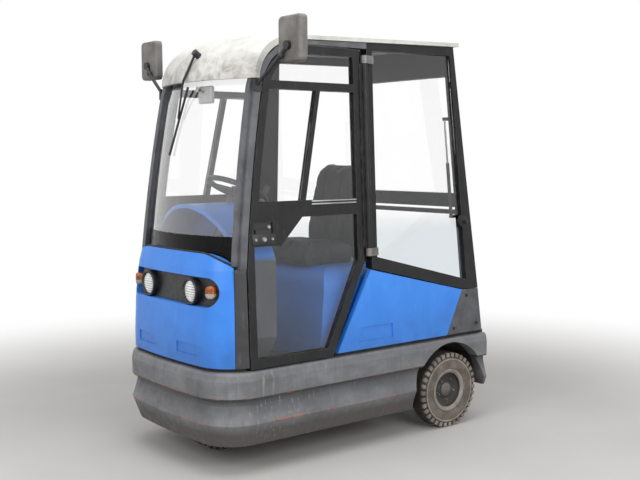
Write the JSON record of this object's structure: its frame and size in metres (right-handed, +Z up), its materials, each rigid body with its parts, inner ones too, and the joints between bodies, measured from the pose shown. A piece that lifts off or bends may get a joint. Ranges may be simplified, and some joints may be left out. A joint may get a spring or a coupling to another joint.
{
  "type": "electric tow tractor",
  "caption": "Three-wheel electric baggage tow tractor with a full glazed cab, hinged doors, a steered front wheel, driven rear wheels and a tow jaw.",
  "frame": {"origin": "on the floor below the middle of the overall box", "axes": "+X forwards to the nose, +Y to the vehicle's left, +Z up"},
  "size_m": [1.8697, 1.47, 2.135],
  "materials": {
    "skirt_grey": "satin paint, scuffed",
    "black_frame": "satin paint",
    "rubber": "matt",
    "battery": "matt",
    "dark_steel": "painted matt",
    "blue_panel": "semi gloss",
    "dark_panel": "matt",
    "clear_lens": "clear ribbed",
    "amber_lens": "gloss",
    "red_lens": "gloss",
    "glass": "clear",
    "roof_pale": "weathered",
    "seat_cover": "matt grained",
    "bare_steel": "worn",
    "mirror_housing": "weathered",
    "mirror": "polished",
    "rim_grey": "satin paint, dusty",
    "tyre": "dusty"
  },
  "bodies": {
    "chassis": {"chassis_skirt": "skirt_grey", "floor_pan": "black_frame", "sill_trim": "rubber", "battery_block": "battery", "rear_axle": "dark_steel", "front_cowl": "blue_panel", "lamp_panel": "dark_panel", "headlamp_shells": "dark_panel", "headlamp_lenses": "clear_lens", "turn_signals": "amber_lens", "screen_band": "dark_panel", "windscreen": "glass", "front_pillars": "black_frame", "side_frames": "black_frame", "quarter_glass": "glass", "side_panels": "blue_panel", "rear_corners": "dark_panel", "rear_header": "black_frame", "rear_rails": "black_frame", "rear_wall": "dark_panel", "rear_glass": "glass", "roof_shell": "roof_pale", "wiper": "black_frame", "seat_hood": "blue_panel", "seat_cushion": "seat_cover", "seat_back": "seat_cover", "dash_console": "blue_panel", "steering_column": "dark_panel", "pedals": "rubber", "tow_jaw": "dark_steel", "tow_pin": "bare_steel", "rear_lamps": "red_lens", "mirror_arms": "black_frame", "mirror_heads": "mirror_housing", "mirror_faces": "mirror", "door_catches": "rubber", "hinge_brackets": "dark_steel"},
    "steer_fork": {"steer_fork": "dark_steel"},
    "front_wheel": {"front_rim": "rim_grey", "front_tyre": "tyre"},
    "left_wheel": {"left_rim": "rim_grey", "left_tyre": "tyre"},
    "right_wheel": {"right_rim": "rim_grey", "right_tyre": "tyre"},
    "steering_wheel": {"steering_wheel": "dark_panel"},
    "left_door": {"left_door_frame": "black_frame", "left_door_glass": "glass", "left_door_handle": "dark_panel"},
    "right_door": {"right_door_frame": "black_frame", "right_door_glass": "glass", "right_door_handle": "dark_panel"}
  },
  "joints": [
    {"name": "fork_steer", "type": "hinge", "parent": "chassis", "child": "steer_fork", "pos_m": [0.605, 0, 0.2075], "axis": [0, 0, 1], "range_deg": [-80, 80]},
    {"name": "front_spin", "type": "hinge", "parent": "steer_fork", "child": "front_wheel", "pos_m": [0.605, 0, 0.2075], "axis": [0, 1, 0], "continuous": true},
    {"name": "left_spin", "type": "hinge", "parent": "chassis", "child": "left_wheel", "pos_m": [-0.585, 0.436, 0.2075], "axis": [0, 1, 0], "continuous": true},
    {"name": "right_spin", "type": "hinge", "parent": "chassis", "child": "right_wheel", "pos_m": [-0.585, -0.436, 0.2075], "axis": [0, 1, 0], "continuous": true},
    {"name": "wheel_turn", "type": "hinge", "parent": "chassis", "child": "steering_wheel", "pos_m": [0.477, 0, 1.33], "axis": [-0.4226, 0, 0.9063], "range_deg": [-540, 540]},
    {"name": "left_door_hinge", "type": "hinge", "parent": "chassis", "child": "left_door", "pos_m": [-0.01, 0.49599, 0.49832], "axis": [0, -0.0401, 0.9992], "range_deg": [0, 175]},
    {"name": "right_door_hinge", "type": "hinge", "parent": "chassis", "child": "right_door", "pos_m": [-0.01, -0.49599, 0.49832], "axis": [0, -0.0401, -0.9992], "range_deg": [0, 175]}
  ],
  "couplings": [
    {"joint": "wheel_turn", "follows": "fork_steer", "ratio": 6.75}
  ]
}
